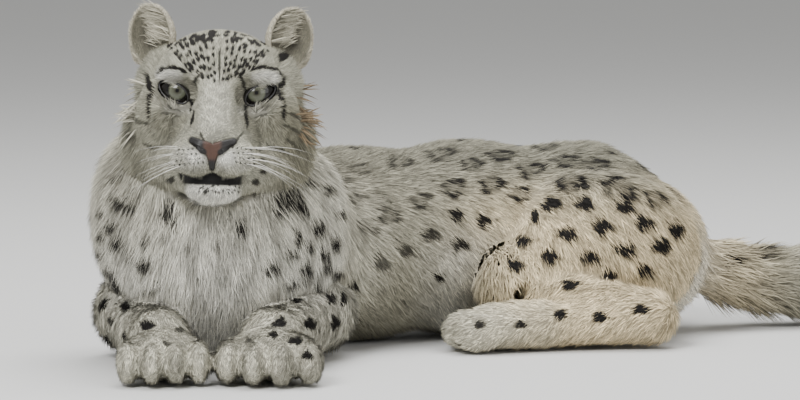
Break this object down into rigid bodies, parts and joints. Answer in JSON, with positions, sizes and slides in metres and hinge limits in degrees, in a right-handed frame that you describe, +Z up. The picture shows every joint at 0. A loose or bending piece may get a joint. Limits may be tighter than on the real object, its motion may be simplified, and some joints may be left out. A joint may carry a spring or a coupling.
{
  "type": "snow leopard",
  "caption": "Life-size still snow leopard lying on its chest with its head up, thick pale spotted coat and long heavy tail curled round behind it",
  "frame": {"origin": "on the ground, under the middle of the whole animal's box", "axes": "+Z up, -Y the way the animal's head faces, +X to its own left, along its body towards the rump and tail"},
  "size_m": [1.094, 0.7166, 0.3729],
  "materials": {
    "coat": "thick matt fur, pale smoky grey with dark spots and rosettes, white below",
    "eye": "wet gloss, pale grey-green iris with a small dark pupil",
    "nose": "bare damp skin, brownish pink with black wings"
  },
  "bodies": {
    "root": {"eye_left": "eye", "eye_right": "eye", "nose": "nose", "ear_left": "coat", "ear_right": "coat", "head": "coat", "neck": "coat", "shoulder_left": "coat", "shoulder_right": "coat", "chest": "coat", "ribs": "coat", "loin": "coat", "croup": "coat", "forearm_left": "coat", "forepaw_left": "coat", "forearm_right": "coat", "forepaw_right": "coat", "thigh_left": "coat", "shank_left": "coat", "hindpaw_left": "coat", "thigh_right": "coat", "shank_right": "coat", "hindpaw_right": "coat", "tail_1": "coat", "tail_2": "coat", "tail_3": "coat", "tail_4": "coat", "tail_5": "coat"}
  },
  "joints": []
}
